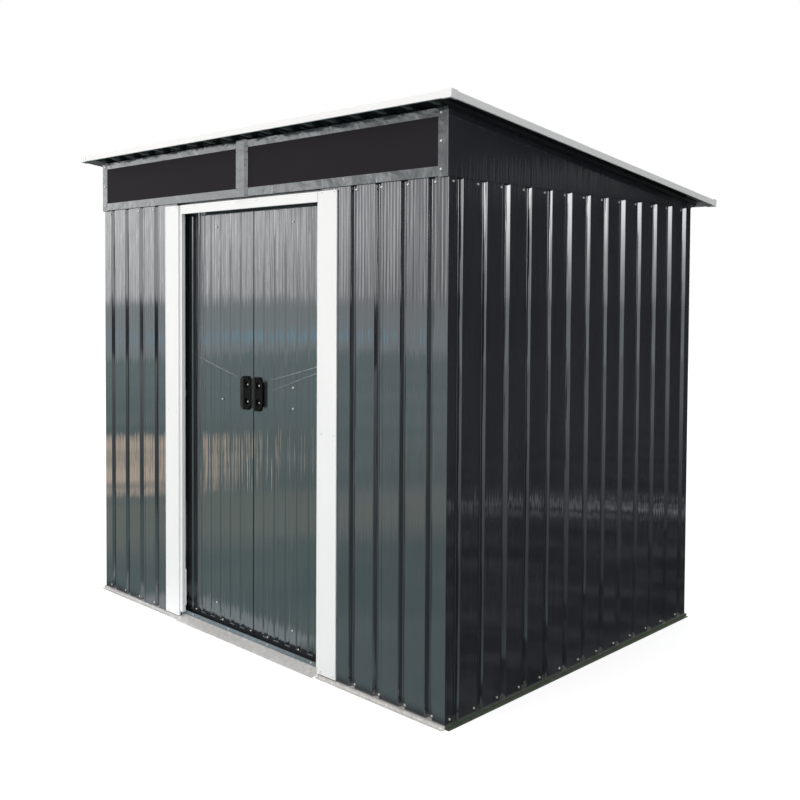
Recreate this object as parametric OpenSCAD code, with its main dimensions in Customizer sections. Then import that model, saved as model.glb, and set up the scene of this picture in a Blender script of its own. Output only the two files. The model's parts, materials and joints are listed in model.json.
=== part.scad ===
// Metal storage shed with a mono-pitch roof, a window band and two sliding doors.
// Front is -Y, up is +Z. The origin is under the middle of the roof, on the ground.

/* [Walls] */
// Width across the outer faces of the side walls
wall_w = 1940; // [1700:10:2200]
// Depth across the outer faces of the front and back walls
wall_d = 1432; // [1321:111:1654]
// Height of the wall sheets' top edge above the ground
wall_h = 1610; // [1500:5:1700]
// Thickness of every folded sheet
sheet_t = 2; // [1.5:0.5:2.5]
// Spacing of the grooves in the wall and roof sheets
groove_pitch = 111; // [111:1:111]
// Width of a groove at the outer face
groove_w = 30; // [24:1:36]
// Width of a groove's sloping flank
groove_flank = 7; // [4:1:9]
// Depth of a groove in the wall sheets
groove_d = 14; // [8:1:16]
// Distance from a front corner to the first groove of the front wall
front_groove_edge = 67; // [55:1:80]
// Distance from a corner to the first groove of a side wall
side_groove_edge = 50; // [50:1:50]

/* [Door] */
// Half the distance between the door jambs' faces
door_half_w = 407; // [380:1:420]
// Width of a jamb's face
jamb_w = 91; // [70:1:100]
// Height of the doorway, to the underside of the header
door_h = 1570; // [1450:5:1580]
// Height of the header's face
header_h = 34; // [30:1:38]
// Distance from the front wall's face back to the door leaves' face
leaf_set_back = 45; // [42:1:50]
// Thickness of a door leaf's frame
leaf_t = 20; // [16:1:22]
// Gap between the two leaves when closed
leaf_gap = 5; // [5:0.5:8]
// How far a leaf reaches behind its jamb when closed
leaf_overlap = 25; // [15:1:40]
// Spacing of the shallow ribs pressed in a door leaf
rib_pitch = 61.5; // [50:0.5:70]
// Width of the flat strip along a leaf's meeting edge
leaf_margin = 52.5; // [40:0.5:80]
// Width of one handle
handle_w = 58; // [50:1:60]
// Height of one handle
handle_h = 122; // [100:2:130]
// Height of the handles' middle above the ground
handle_z = 908; // [800:4:1000]

/* [Window band] */
// Height of the band's bottom rail
band_rail_h = 30; // [24:1:36]
// Height of a window panel between the rails
window_h = 142; // [100:1:150]
// Width of the stile at each end of the band
stile_w = 37; // [30:1:50]
// Width of the middle post where it meets the band
mullion_w = 72; // [50:1:90]
// How far the band stands out from the front wall
band_proud = 8; // [6:1:12]

/* [Roof] */
// Height of the roof's top at its front edge
roof_top = 1841; // [1836:1:1850]
// Fall of the roof for each unit of depth
roof_fall = 0.126; // [0.1:0.002:0.13]
// Overhang at the front
eave_front = 69.5; // [60:0.5:90]
// Overhang at the back
eave_back = 75.5; // [60:0.5:90]
// Overhang at each side
eave_side = 69.5; // [60:0.5:90]
// Height of the fascia trims
fascia_h = 22; // [22:1:22]

/* [Hidden] */

paint_dark = [0.21, 0.24, 0.26];
paint_white = [0.93, 0.93, 0.92];
galvanised = [0.70, 0.72, 0.72];
black_plastic = [0.06, 0.06, 0.065];
black_glazing = [0.05, 0.045, 0.05];

t = sheet_t;
half_w = wall_w / 2;
roof_angle = atan(roof_fall);
lean = fascia_h * sin(roof_angle);
front_y = (eave_front + lean - eave_back - wall_d) / 2;
back_y = front_y + wall_d;

// Base rails: a curb that carries the sheets, with a foot flange outside and a web inside
curb_h = 10;
curb_out = 6;
foot_out = 16;
web_h = 45;
web_in = groove_d + t;
rail_in = web_in + t;
ramp_half_w = 401;
ramp_gap = 11;
ramp_reach = 24;
ramp_top_z = 18;
ramp_fold_h = 6;

// Bottom track, from the back of the base rail's web
track_front = rail_in;
track_back = 74;
track_lip_front = 33;
track_lip_back = 22;
track_half_w = half_w - rail_in - 2;

// Jambs and header, with depths measured back from the front wall's face
jamb_out = 5;
jamb_step_depth = 8;
jamb_step_w = 12;
jamb_z = 13;
jamb_step_z = 28;
header_out = 6;
header_lip = 8;
header_from = -388;
header_to = 406;

// Door leaves and their running gear
leaf_z = 12;
leaf_top = door_h + 18;
leaf_w = door_half_w + leaf_overlap - leaf_gap / 2;
leaf_rail_h = 24;
rib_d = 3;
rib_flat = 19;
rib_slope = 4;
rib_edge = 30;
glide_l = 60;
glide_inset = 70;
glide_h = 12;
top_track_front = 26;
top_track_back = 84;

// The strip on the left leaf that closes the gap between the leaves from behind
strip_clear = 5;
strip_web_w = 6;
strip_lap = 12;
strip_z = 30;
strip_top = leaf_top - strip_z;

// Handles: a plate with a raised grip along its left side and a round well for each screw
handle_from_edge = 0.5;
handle_step = 67;
handle_out = 12;
handle_plate = 8;
handle_floor = 4;
handle_grip_w = 15;
handle_grip_foot = 21;
handle_left_cut = 13;
handle_right_cut = 20;
handle_well_x = 36;
handle_well_z = 31;
handle_well_r = 14;

// Inside rails
mid_z = 812;
rail_h = 30;
rail_d = 15;

// Window band
band_z = wall_h + 2;
window_z = band_z + band_rail_h;
window_top = window_z + window_h;
window_t = 3;
window_lap = 10;
gable_proud = 2;
band_half_w = half_w + gable_proud;
mullion_proud = 8;
mullion_face = 48;

// Roof, in a frame that starts at its front top edge and lies along its slope
roof_w = wall_w + 2 * eave_side;
roof_l = (wall_d + eave_front + eave_back) / cos(roof_angle);
cap_t = 2;
cap_w = 37;
cap_l = 28;
trim_t = 2;
trim_lip = 20;
under_lip = 6;
roof_under = fascia_h - trim_t;
roof_groove_d = roof_under - trim_t - t;
roof_edge = cap_t + trim_t;
roof_grooves = 18;
beam_h = 36;
beam_w = 20;

// Height of the roof's underside at a distance back from the front wall's face
function under(d) = roof_top - (d + eave_front) * roof_fall - roof_under / cos(roof_angle);

// The four corners of one groove, across the sheet and into it
function groove(c, depth) = [
    [c - groove_w / 2, 0],
    [c - groove_w / 2 + groove_flank, depth],
    [c + groove_w / 2 - groove_flank, depth],
    [c + groove_w / 2, 0]
];

// The centres of a row of grooves
function row_of(first, count) = [for (i = [0 : count - 1]) first + i * groove_pitch];

// A folded line given thickness across the sheet
module folded(points, thickness = t) {
    last = len(points) - 1;
    polygon(concat(points, [for (i = [0 : last]) points[last - i] + [0, thickness]]));
}

// A grooved sheet standing on its edge: along +X, its outer face on Y = 0
module grooved_sheet(length, height, centres, depth) {
    linear_extrude(height)
        folded(concat([[0, 0]], [for (c = centres) each groove(c, depth)], [[length, 0]]));
}

// Lays a profile drawn as (depth, height) along +X
module along_x(length) {
    rotate([90, 0, 90])
        linear_extrude(length)
            children();
}

// Turns work made for the front side round to the right, back and left sides
module on_right() {
    translate([half_w, front_y, 0])
        rotate([0, 0, 90])
            children();
}

module on_back() {
    translate([half_w, back_y, 0])
        rotate([0, 0, 180])
            children();
}

module on_front() {
    translate([-half_w, front_y, 0])
        children();
}

module mirrored() {
    mirror([1, 0, 0])
        children();
}

// ---- Base ----

module base_rail_profile() {
    polygon([
        [-foot_out, 0], [-foot_out, t], [-curb_out, t], [-curb_out, curb_h],
        [web_in, curb_h], [web_in, web_h], [rail_in, web_h], [rail_in, curb_h - t],
        [-curb_out + t, curb_h - t], [-curb_out + t, 0]
    ]);
}

// A rail from X = from to X = to, mitred at the corners of a wall of the given length
module base_rail(from, to, length) {
    difference() {
        intersection() {
            translate([from, 0, 0])
                along_x(to - from)
                    base_rail_profile();
            linear_extrude(web_h)
                polygon([
                    [-foot_out, -foot_out], [length + foot_out, -foot_out],
                    [length - rail_in, rail_in], [rail_in, rail_in]
                ]);
        }
        for (x = [-foot_out - 1, length])
            translate([x, -foot_out - 1, -1])
                cube([foot_out + 1, foot_out + 1, t + 2]);
    }
}

// Two lengths, one on each side of the doorway
module base_rail_front() {
    color(galvanised)
        for (side = [0, 1])
            mirror([side, 0, 0])
                on_front()
                    base_rail(-foot_out, half_w - ramp_half_w - ramp_gap, wall_w);
}

module base_rail_back() {
    color(galvanised)
        on_back()
            base_rail(-foot_out, wall_w + foot_out, wall_w);
}

module base_rail_right() {
    color(galvanised)
        on_right()
            base_rail(-foot_out, wall_d + foot_out, wall_d);
}

module base_rail_left() {
    color(galvanised)
        mirrored()
            base_rail_right();
}

module threshold_ramp() {
    color(galvanised)
        translate([-ramp_half_w, front_y, 0])
            along_x(2 * ramp_half_w)
                polygon([
                    [-ramp_reach, 0], [-ramp_reach + 2 * t, 0],
                    [track_front - t, ramp_top_z - t], [track_front - t, ramp_top_z - ramp_fold_h],
                    [track_front, ramp_top_z - ramp_fold_h], [track_front, ramp_top_z],
                    [track_front - t, ramp_top_z], [-ramp_reach, t]
                ]);
}

module door_bottom_track() {
    color(galvanised)
        translate([-track_half_w, front_y, 0])
            along_x(2 * track_half_w)
                polygon([
                    [track_front, 0], [track_back, 0], [track_back, track_lip_back],
                    [track_back - t, track_lip_back], [track_back - t, t],
                    [track_front + t, t], [track_front + t, track_lip_front],
                    [track_front, track_lip_front]
                ]);
}

// ---- Walls ----

module front_wall_left() {
    color(paint_dark)
        on_front()
            translate([0, 0, curb_h])
                grooved_sheet(half_w - door_half_w - 15, band_z + 14 - curb_h,
                    row_of(front_groove_edge, 4), groove_d);
}

module front_wall_right() {
    color(paint_dark)
        mirrored()
            front_wall_left();
}

module right_wall() {
    color(paint_dark)
        on_right()
            translate([t, 0, curb_h])
                grooved_sheet(wall_d - 2 * t, wall_h + 4 - curb_h,
                    row_of(side_groove_edge - t, 1 + round((wall_d - 2 * side_groove_edge)
                        / groove_pitch)), groove_d);
}

module left_wall() {
    color(paint_dark)
        mirrored()
            right_wall();
}

module back_wall() {
    back_count = floor((wall_w - groove_pitch) / groove_pitch) + 1;
    color(paint_dark)
        on_back()
            translate([0, 0, curb_h])
                grooved_sheet(wall_w, under(wall_d) - curb_h - 1,
                    row_of((wall_w - (back_count - 1) * groove_pitch) / 2, back_count),
                    groove_d);
}

// ---- Inside rails ----

// A channel whose web stands against the grooves' backs, with its flanges inward
module channel_profile(depth, height) {
    polygon([
        [0, 0], [depth, 0], [depth, t], [t, t],
        [t, height - t], [depth, height - t], [depth, height], [0, height]
    ]);
}

module inside_rail(from, to, z, depth, height) {
    translate([from, web_in, z])
        along_x(to - from)
            channel_profile(depth, height);
}

module mid_rail_right() {
    color(galvanised)
        on_right()
            inside_rail(track_back + 10, wall_d - web_in - rail_d, mid_z - rail_h / 2, rail_d,
                rail_h);
}

module mid_rail_left() {
    color(galvanised)
        mirrored()
            mid_rail_right();
}

module mid_rail_back() {
    color(galvanised)
        on_back()
            inside_rail(web_in, wall_w - web_in, mid_z - rail_h / 2, rail_d, rail_h);
}

module top_rail_front() {
    color(galvanised)
        on_front()
            inside_rail(web_in, wall_w - web_in, band_z + 4, beam_w, beam_h);
}

module top_rail_right() {
    color(galvanised)
        on_right()
            inside_rail(top_track_back + 2, wall_d - web_in - rail_d, wall_h - rail_h, rail_d,
                rail_h);
}

module top_rail_left() {
    color(galvanised)
        mirrored()
            top_rail_right();
}

module top_rail_back() {
    color(galvanised)
        on_back()
            inside_rail(web_in, wall_w - web_in, under(wall_d) - 1 - rail_h, rail_d, rail_h);
}

// ---- Door frame ----

module jamb_profile() {
    polygon([
        [0, 0], [0, -jamb_out], [jamb_w, -jamb_out], [jamb_w, -jamb_out + jamb_step_depth],
        [jamb_w - t, -jamb_out + jamb_step_depth], [jamb_w - t, -jamb_out + t],
        [t, -jamb_out + t], [t, 0]
    ]);
}

module jamb_step_profile() {
    polygon([
        [jamb_w - t, -jamb_out + jamb_step_depth],
        [jamb_w + jamb_step_w, -jamb_out + jamb_step_depth],
        [jamb_w + jamb_step_w, track_front],
        [jamb_w + jamb_step_w - t, track_front],
        [jamb_w + jamb_step_w - t, -jamb_out + jamb_step_depth + t],
        [jamb_w - t, -jamb_out + jamb_step_depth + t]
    ]);
}

module door_jamb_left() {
    color(paint_white)
        translate([-door_half_w - jamb_w, front_y, 0]) {
            translate([0, 0, jamb_z])
                linear_extrude(door_h + header_h - jamb_z)
                    jamb_profile();
            translate([0, 0, jamb_step_z])
                linear_extrude(door_h + header_h - jamb_step_z)
                    jamb_step_profile();
        }
}

module door_jamb_right() {
    color(paint_white)
        mirrored()
            door_jamb_left();
}

// A folded trim whose upper lip runs back to the top track between the jambs' returns
module door_header() {
    face_back = header_lip - header_out;
    color(paint_white) {
        translate([header_from, front_y, door_h])
            along_x(header_to - header_from)
                polygon([
                    [-header_out, 0], [face_back, 0], [face_back, t], [-header_out + t, t],
                    [-header_out + t, header_h - t], [face_back, header_h - t],
                    [face_back, header_h], [-header_out, header_h]
                ]);
        translate([header_from, front_y + face_back - 1, door_h + header_h - t])
            cube([-2 * header_from, top_track_front - face_back + 1, t]);
    }
}

module door_top_track() {
    color(galvanised)
        translate([-track_half_w, front_y, leaf_top + 2])
            along_x(2 * track_half_w)
                polygon([
                    [top_track_front, 0], [top_track_front + t, 0],
                    [top_track_front + t, band_z - leaf_top - 2],
                    [top_track_back - t, band_z - leaf_top - 2], [top_track_back - t, 0],
                    [top_track_back, 0], [top_track_back, band_z - leaf_top - 2 + t],
                    [top_track_front, band_z - leaf_top - 2 + t]
                ]);
}

// ---- Door leaves ----

function rib(c) = [
    [c - rib_flat / 2 - rib_slope, 0],
    [c - rib_flat / 2, rib_d],
    [c + rib_flat / 2, rib_d],
    [c + rib_flat / 2 + rib_slope, 0]
];

module door_leaf_right() {
    first_rib = leaf_margin + rib_flat / 2 + rib_slope;
    rib_count = floor((leaf_w - rib_edge - first_rib) / rib_pitch) + 1;
    ribs = [for (i = [0 : rib_count - 1]) each rib(first_rib + i * rib_pitch)];
    frame_d = leaf_t - rib_d - t;
    color(paint_dark)
        translate([leaf_gap / 2, front_y + leaf_set_back, 0]) {
            translate([0, 0, leaf_z + leaf_rail_h])
                linear_extrude(leaf_top - leaf_z - 2 * leaf_rail_h)
                    folded(concat([[0, 0]], ribs, [[leaf_w, 0]]));
            for (z = [leaf_z, leaf_top - leaf_rail_h])
                translate([0, 0, z])
                    along_x(leaf_w)
                        polygon([[0, 0], [leaf_t, 0], [leaf_t, leaf_rail_h], [0, leaf_rail_h]]);
            for (x = [0, leaf_w - 2 * t])
                translate([x, t, leaf_z])
                    cube([2 * t, leaf_t - t, leaf_top - leaf_z]);
            for (z = [1 / 3, 2 / 3])
                translate([0, rib_d + t, leaf_z + z * (leaf_top - leaf_z) - leaf_rail_h / 2])
                    cube([leaf_w, frame_d, leaf_rail_h]);
        }
}

module door_leaf_left() {
    color(paint_dark)
        mirrored()
            door_leaf_right();
}

module door_meeting_strip() {
    color(paint_dark)
        translate([-leaf_gap / 2, front_y + leaf_set_back + leaf_t, strip_z])
            linear_extrude(strip_top - strip_z)
                polygon([
                    [-strip_web_w, 0], [0, 0], [0, strip_clear],
                    [strip_lap + leaf_gap / 2, strip_clear],
                    [strip_lap + leaf_gap / 2, strip_clear + t], [-strip_web_w, strip_clear + t]
                ]);
}

// The handle's outline, seen from the front, with its corners cut off
module handle_outline() {
    polygon([
        [handle_left_cut, 0], [handle_w - handle_right_cut, 0], [handle_w, handle_right_cut],
        [handle_w, handle_h - handle_right_cut], [handle_w - handle_right_cut, handle_h],
        [handle_left_cut, handle_h], [0, handle_h - handle_left_cut], [0, handle_left_cut]
    ]);
}

// The grip's profile, seen from above
module handle_grip_profile() {
    polygon([
        [0, 0], [0, -handle_out], [handle_grip_w, -handle_out],
        [handle_grip_foot, -handle_plate], [handle_grip_foot, 0]
    ]);
}

module door_handle_right() {
    color(black_plastic)
        translate([leaf_gap / 2 + handle_from_edge, front_y + leaf_set_back,
            handle_z - handle_h / 2])
            difference() {
                union() {
                    rotate([90, 0, 0])
                        linear_extrude(handle_plate)
                            handle_outline();
                    intersection() {
                        rotate([90, 0, 0])
                            linear_extrude(handle_out)
                                handle_outline();
                        linear_extrude(handle_h)
                            handle_grip_profile();
                    }
                }
                for (z = [handle_h / 2 - handle_well_z, handle_h / 2 + handle_well_z])
                    translate([handle_well_x, -handle_floor, z])
                        rotate([90, 0, 0])
                            cylinder(h = handle_out, r = handle_well_r);
            }
}

module door_handle_left() {
    translate([-handle_step, 0, 0])
        door_handle_right();
}

module door_glides_right() {
    color(black_plastic)
        for (x = [glide_inset, leaf_w - glide_inset])
            translate([leaf_gap / 2 + x - glide_l / 2, front_y + leaf_set_back + 4, leaf_top])
                cube([glide_l, leaf_t - 8, glide_h]);
}

module door_glides_left() {
    color(black_plastic)
        mirrored()
            door_glides_right();
}

// ---- Window band ----

module band_bottom_rail() {
    color(galvanised)
        translate([-band_half_w + stile_w, front_y, band_z])
            along_x(2 * (band_half_w - stile_w))
                polygon([
                    [-band_proud, 0], [0, 0], [0, t], [-band_proud + t, t],
                    [-band_proud + t, band_rail_h], [-band_proud, band_rail_h]
                ]);
}

module band_top_rail() {
    color(galvanised)
        translate([-band_half_w + stile_w, front_y, window_top])
            along_x(2 * (band_half_w - stile_w))
                polygon([
                    [-band_proud, 0], [-band_proud + t, 0],
                    [-band_proud + t, under(beam_w) - window_top - t],
                    [beam_w, under(beam_w) - window_top - t],
                    [beam_w, under(beam_w) - window_top],
                    [-band_proud, under(beam_w) - window_top]
                ]);
}

module band_stile_right() {
    color(galvanised)
        translate([band_half_w - stile_w, front_y, band_z - t])
            linear_extrude(under(-band_proud + t) - band_z)
                polygon([
                    [0, -band_proud], [stile_w, -band_proud], [stile_w, -band_proud + t],
                    [window_lap + 2 + t, -band_proud + t], [window_lap + 2 + t, 0],
                    [window_lap + 2, 0], [window_lap + 2, -band_proud + t],
                    [0, -band_proud + t]
                ]);
}

module band_stile_left() {
    color(galvanised)
        mirrored()
            band_stile_right();
}

module band_mullion() {
    outer = mullion_w / 2;
    inner = mullion_face / 2;
    color(galvanised)
        translate([0, front_y - band_proud, band_z - t])
            linear_extrude(under(-band_proud - mullion_proud) - band_z)
                polygon([
                    [-outer, 0], [-inner, -mullion_proud], [inner, -mullion_proud], [outer, 0],
                    [outer - 1.5 * t, 0], [inner - t / 2, -mullion_proud + t],
                    [-inner + t / 2, -mullion_proud + t], [-outer + 1.5 * t, 0]
                ]);
}

module window_panel_right() {
    color(black_glazing)
        translate([t, front_y - band_proud + t, window_z - window_lap])
            cube([band_half_w - stile_w + window_lap - t, window_t, window_h + 2 * window_lap]);
}

module window_panel_left() {
    color(black_glazing)
        mirrored()
            window_panel_right();
}

module gable_panel_right() {
    front = -band_proud + t;
    color(paint_dark)
        translate([band_half_w - t, front_y, 0])
            along_x(t)
                polygon([
                    [front, band_z - t], [wall_d, band_z - t],
                    [wall_d, under(wall_d)], [front, under(front)]
                ]);
}

module gable_panel_left() {
    color(paint_dark)
        mirrored()
            gable_panel_right();
}

// ---- Roof ----

// Places work made flat, from the roof's front top edge back along +Y, on the slope
module on_slope() {
    translate([0, front_y - eave_front, roof_top])
        rotate([-roof_angle, 0, 0])
            children();
}

module roof_sheet() {
    width = roof_w - 2 * roof_edge;
    color(paint_dark)
        on_slope()
            translate([-width / 2, roof_edge, -trim_t])
                rotate([-90, 0, 0])
                    grooved_sheet(width, roof_l - 2 * roof_edge,
                        row_of((width - (roof_grooves - 1) * groove_pitch) / 2, roof_grooves),
                        roof_groove_d);
}

module roof_beams() {
    color(galvanised)
        for (k = [1, 2])
            translate([-band_half_w + t, front_y + k * wall_d / 3,
                under(k * wall_d / 3 + beam_w) - beam_h])
                along_x(2 * (band_half_w - t))
                    channel_profile(beam_w, beam_h);
}

// A trim that wraps an edge: drawn as (distance in from the edge, height)
module fascia_profile() {
    polygon([
        [0, 0], [trim_lip, 0], [trim_lip, -trim_t], [trim_t, -trim_t],
        [trim_t, -fascia_h + trim_t], [under_lip, -fascia_h + trim_t],
        [under_lip, -fascia_h], [0, -fascia_h]
    ]);
}

module fascia_front() {
    color(paint_white)
        on_slope()
            translate([-roof_w / 2 + cap_t, cap_t, 0])
                along_x(roof_w - 2 * cap_t)
                    fascia_profile();
}

module fascia_back() {
    color(paint_white)
        on_slope()
            translate([roof_w / 2 - cap_t, roof_l - cap_t, 0])
                rotate([0, 0, 180])
                    along_x(roof_w - 2 * cap_t)
                        fascia_profile();
}

module fascia_right() {
    color(paint_white)
        on_slope()
            translate([roof_w / 2 - cap_t, cap_t + trim_lip, 0])
                rotate([0, 0, 90])
                    along_x(roof_l - 2 * cap_t - 2 * trim_lip)
                        fascia_profile();
}

module fascia_left() {
    color(paint_white)
        mirrored()
            fascia_right();
}

// A sleeve over one corner of the trims, open towards the roof's middle
module corner_cap() {
    difference() {
        translate([0, 0, -fascia_h - cap_t])
            cube([cap_w, cap_l, fascia_h + 2 * cap_t]);
        translate([cap_t, cap_t, -fascia_h])
            cube([cap_w, cap_l, fascia_h]);
        translate([trim_lip + cap_t, trim_lip + cap_t, -fascia_h])
            cube([cap_w, cap_l, fascia_h + cap_t + 1]);
        translate([under_lip + cap_t, under_lip + cap_t, -fascia_h - cap_t - 1])
            cube([cap_w, cap_l, fascia_h]);
    }
}

module roof_corner_caps() {
    color(paint_white)
        on_slope()
            for (side = [0, 1], end = [0, 1])
                mirror([side, 0, 0])
                    translate([-roof_w / 2, end * roof_l, 0])
                        mirror([0, end, 0])
                            corner_cap();
}

base_rail_front();
base_rail_back();
base_rail_left();
base_rail_right();
threshold_ramp();
door_bottom_track();
front_wall_left();
front_wall_right();
left_wall();
right_wall();
back_wall();
mid_rail_left();
mid_rail_right();
mid_rail_back();
top_rail_front();
top_rail_left();
top_rail_right();
top_rail_back();
door_jamb_left();
door_jamb_right();
door_header();
door_top_track();
door_leaf_left();
door_leaf_right();
door_meeting_strip();
door_handle_left();
door_handle_right();
door_glides_left();
door_glides_right();
band_bottom_rail();
band_top_rail();
band_stile_left();
band_stile_right();
band_mullion();
window_panel_left();
window_panel_right();
gable_panel_left();
gable_panel_right();
roof_sheet();
roof_beams();
fascia_front();
fascia_back();
fascia_left();
fascia_right();
roof_corner_caps();
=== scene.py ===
"""The looks of a metal storage shed: rounded sheets, trims, screws, finishes, light and camera.

Lengths are in metres. Front is -Y, up is +Z, and X = 0 is the middle of the doorway.
"""

import functools
import json
import math
import random

import bmesh
import bpy
from mathutils import Matrix, Vector


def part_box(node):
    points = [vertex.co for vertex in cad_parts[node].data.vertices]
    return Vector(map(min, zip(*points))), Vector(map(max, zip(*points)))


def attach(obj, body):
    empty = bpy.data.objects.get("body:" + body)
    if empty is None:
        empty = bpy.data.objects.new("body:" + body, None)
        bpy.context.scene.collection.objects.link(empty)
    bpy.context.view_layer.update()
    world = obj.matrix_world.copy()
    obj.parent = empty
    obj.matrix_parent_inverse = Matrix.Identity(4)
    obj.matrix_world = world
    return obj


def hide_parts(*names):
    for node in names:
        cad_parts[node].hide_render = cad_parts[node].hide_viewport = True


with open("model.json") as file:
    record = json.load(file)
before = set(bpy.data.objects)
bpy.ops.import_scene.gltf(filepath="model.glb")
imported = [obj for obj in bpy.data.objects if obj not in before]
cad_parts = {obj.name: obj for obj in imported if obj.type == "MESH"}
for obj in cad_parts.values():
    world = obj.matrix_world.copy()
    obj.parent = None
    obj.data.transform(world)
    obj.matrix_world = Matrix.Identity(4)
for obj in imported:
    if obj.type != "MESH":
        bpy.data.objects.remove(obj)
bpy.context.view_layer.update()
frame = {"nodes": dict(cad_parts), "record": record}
nodes = frame["nodes"]
dice = random.Random(7)

# ---- Sizes shared with the CAD model ----

MM = 0.001
HALF_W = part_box("right_wall")[1].x
FRONT_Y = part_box("front_wall_right")[0].y
BACK_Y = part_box("back_wall")[1].y
WALL_D = BACK_Y - FRONT_Y
CURB_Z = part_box("right_wall")[0].z
LEAF_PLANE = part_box("door_leaf_right")[0].y
GROOVE_PITCH = 111 * MM
GROOVE_W = 30 * MM
GROOVE_FLANK = 7 * MM
GROOVE_D = 14 * MM
FRONT_GROOVE = 67 * MM
SIDE_GROOVE = 50 * MM
ROOF_TOP = 1841 * MM
ROOF_FALL = 0.126
EAVE_FRONT = 69.5 * MM
ROOF_INSET = 4 * MM
ROOF_GROOVE_D = 16 * MM
ROOF_GROOVES = 18
TRIM_T = 2 * MM

# ---- Sizes of the visual detail ----

SKIN = 1.2 * MM
BEND_R = 3.0 * MM
BEND_STEPS = 4
CORNER_LEG = 4 * MM
WAVE_PITCH = 13.4 * MM
WAVE_D = 0.34 * MM
WAVE_MARGIN = 7 * MM
WAVE_STEPS = 6
LAP_RISE = 0.7 * MM
LAP_SIDE = 9 * MM
LAP_FLANK = 8.5 * MM


# ---- Node helpers ----


class Tree:
    """A short way to make and join shader nodes."""

    def __init__(self, owner):
        owner.use_nodes = True
        self.tree = owner.node_tree
        self.tree.nodes.clear()

    def node(self, kind, **settings):
        made = self.tree.nodes.new(kind)
        for key, value in settings.items():
            setattr(made, key, value)
        return made

    def link(self, source, target):
        self.tree.links.new(source, target)
        return target

    def put(self, made, **inputs):
        """Sets or links inputs by name, with _ for a space."""
        for key, value in inputs.items():
            socket = made.inputs[key.replace("_", " ")]
            if isinstance(value, bpy.types.NodeSocket):
                self.link(value, socket)
            else:
                socket.default_value = value
        return made

    def math(self, operation, a, b=0.0):
        made = self.node("ShaderNodeMath", operation=operation)
        for socket, value in zip(made.inputs, (a, b)):
            if isinstance(value, bpy.types.NodeSocket):
                self.link(value, socket)
            else:
                socket.default_value = value
        return made.outputs[0]

    def span(self, value, low, high, out_low=0.0, out_high=1.0, smooth=False):
        made = self.node("ShaderNodeMapRange", interpolation_type="SMOOTHSTEP" if smooth else "LINEAR")
        self.link(value, made.inputs["Value"])
        limits = {"From Min": low, "From Max": high, "To Min": out_low, "To Max": out_high}
        for name, number in limits.items():
            made.inputs[name].default_value = number
        return made.outputs["Result"]

    def within(self, value, centre, inside, outside, peak=1.0, smooth=False):
        """The peak where the value is nearer the centre than inside, and 0 farther than outside."""
        gap = self.math("ABSOLUTE", self.math("ADD", value, -centre))
        return self.span(gap, inside, outside, peak, 0.0, smooth)

    def times(self, *factors):
        return functools.reduce(lambda a, b: self.math("MULTIPLY", a, b), factors)

    def total(self, *terms):
        return functools.reduce(lambda a, b: self.math("ADD", a, b), terms)

    def heading(self, x, y, east, north):
        """How far a place or direction (x, y) lies toward (east, north)."""
        return self.total(self.times(x, east), self.times(y, north))

    def by_camera(self, kind, seen, hidden):
        """Shows one shader to the camera and the other to every other ray."""
        either = self.node("ShaderNodeMixShader")
        self.link(self.node("ShaderNodeLightPath").outputs["Is Camera Ray"], either.inputs[0])
        self.link(hidden.outputs[0], either.inputs[1])
        self.link(seen.outputs[0], either.inputs[2])
        out = self.node(kind)
        self.link(either.outputs[0], out.inputs["Surface"])

    def mix(self, factor, a, b):
        made = self.node("ShaderNodeMix", data_type="RGBA")
        for socket, value in ((made.inputs[0], factor), (made.inputs[6], a), (made.inputs[7], b)):
            if isinstance(value, bpy.types.NodeSocket):
                self.link(value, socket)
            else:
                socket.default_value = value if isinstance(value, float) else (*value, 1.0)
        return made.outputs[2]

    def noise(self, vector, scale, detail=2.0, roughness=0.5):
        made = self.node("ShaderNodeTexNoise")
        self.put(made, Vector=vector, Scale=scale, Detail=detail, Roughness=roughness)
        return made.outputs["Fac"]

    def stretched(self, x, y, z):
        """Object coordinates with each axis scaled."""
        coords = self.node("ShaderNodeTexCoord")
        mapping = self.node("ShaderNodeMapping")
        self.link(coords.outputs["Object"], mapping.inputs["Vector"])
        mapping.inputs["Scale"].default_value = (x, y, z)
        return mapping.outputs["Vector"]

    def bump(self, height, distance, strength=1.0, normal=None):
        made = self.node("ShaderNodeBump")
        self.put(made, Height=height, Distance=distance, Strength=strength)
        if normal is not None:
            self.link(normal, made.inputs["Normal"])
        return made.outputs["Normal"]

    def surface(self, shader):
        out = self.node("ShaderNodeOutputMaterial")
        self.link(shader.outputs[0], out.inputs["Surface"])


def new_material(name):
    made = bpy.data.materials.new(name)
    return made, Tree(made)


# ---- Finishes ----


def painted_sheet(name, base, streak, gloss=0.045, ior=2.2, creases=False):
    """Glossy coil paint on thin sheet.

    Long narrow waves bend what it reflects, over faint mottle and orange peel.
    """
    made, t = new_material(name)
    mottle = t.noise(t.stretched(1, 1, 0.25), 9.0, 3.0, 0.55)
    colour = t.mix(t.span(mottle, 0.35, 0.65), [c * 0.9 for c in base], [c * 1.1 for c in base])
    rough = t.span(t.noise(t.stretched(1, 1, 0.3), 14.0, 3.0), 0.3, 0.7, gloss * 0.8, gloss * 1.3)
    normal = t.bump(t.noise(t.stretched(1, 1, 0.12), 13.0, 2.0, 0.45), 0.0014)
    normal = t.bump(t.noise(t.stretched(1, 1, 0.035), 70.0, 2.0, 0.5), streak, 1.0, normal)
    if creases:
        normal = t.bump(door_creases(t), 0.00022, 1.0, normal)
    peel = t.bump(t.noise(t.stretched(1, 1, 1), 900.0, 1.0), 0.00001, 0.5, normal)
    shader = t.node("ShaderNodeBsdfPrincipled")
    t.put(shader, Base_Color=colour, Roughness=rough, IOR=ior, Normal=peel)
    t.surface(shader)
    return made


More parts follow.
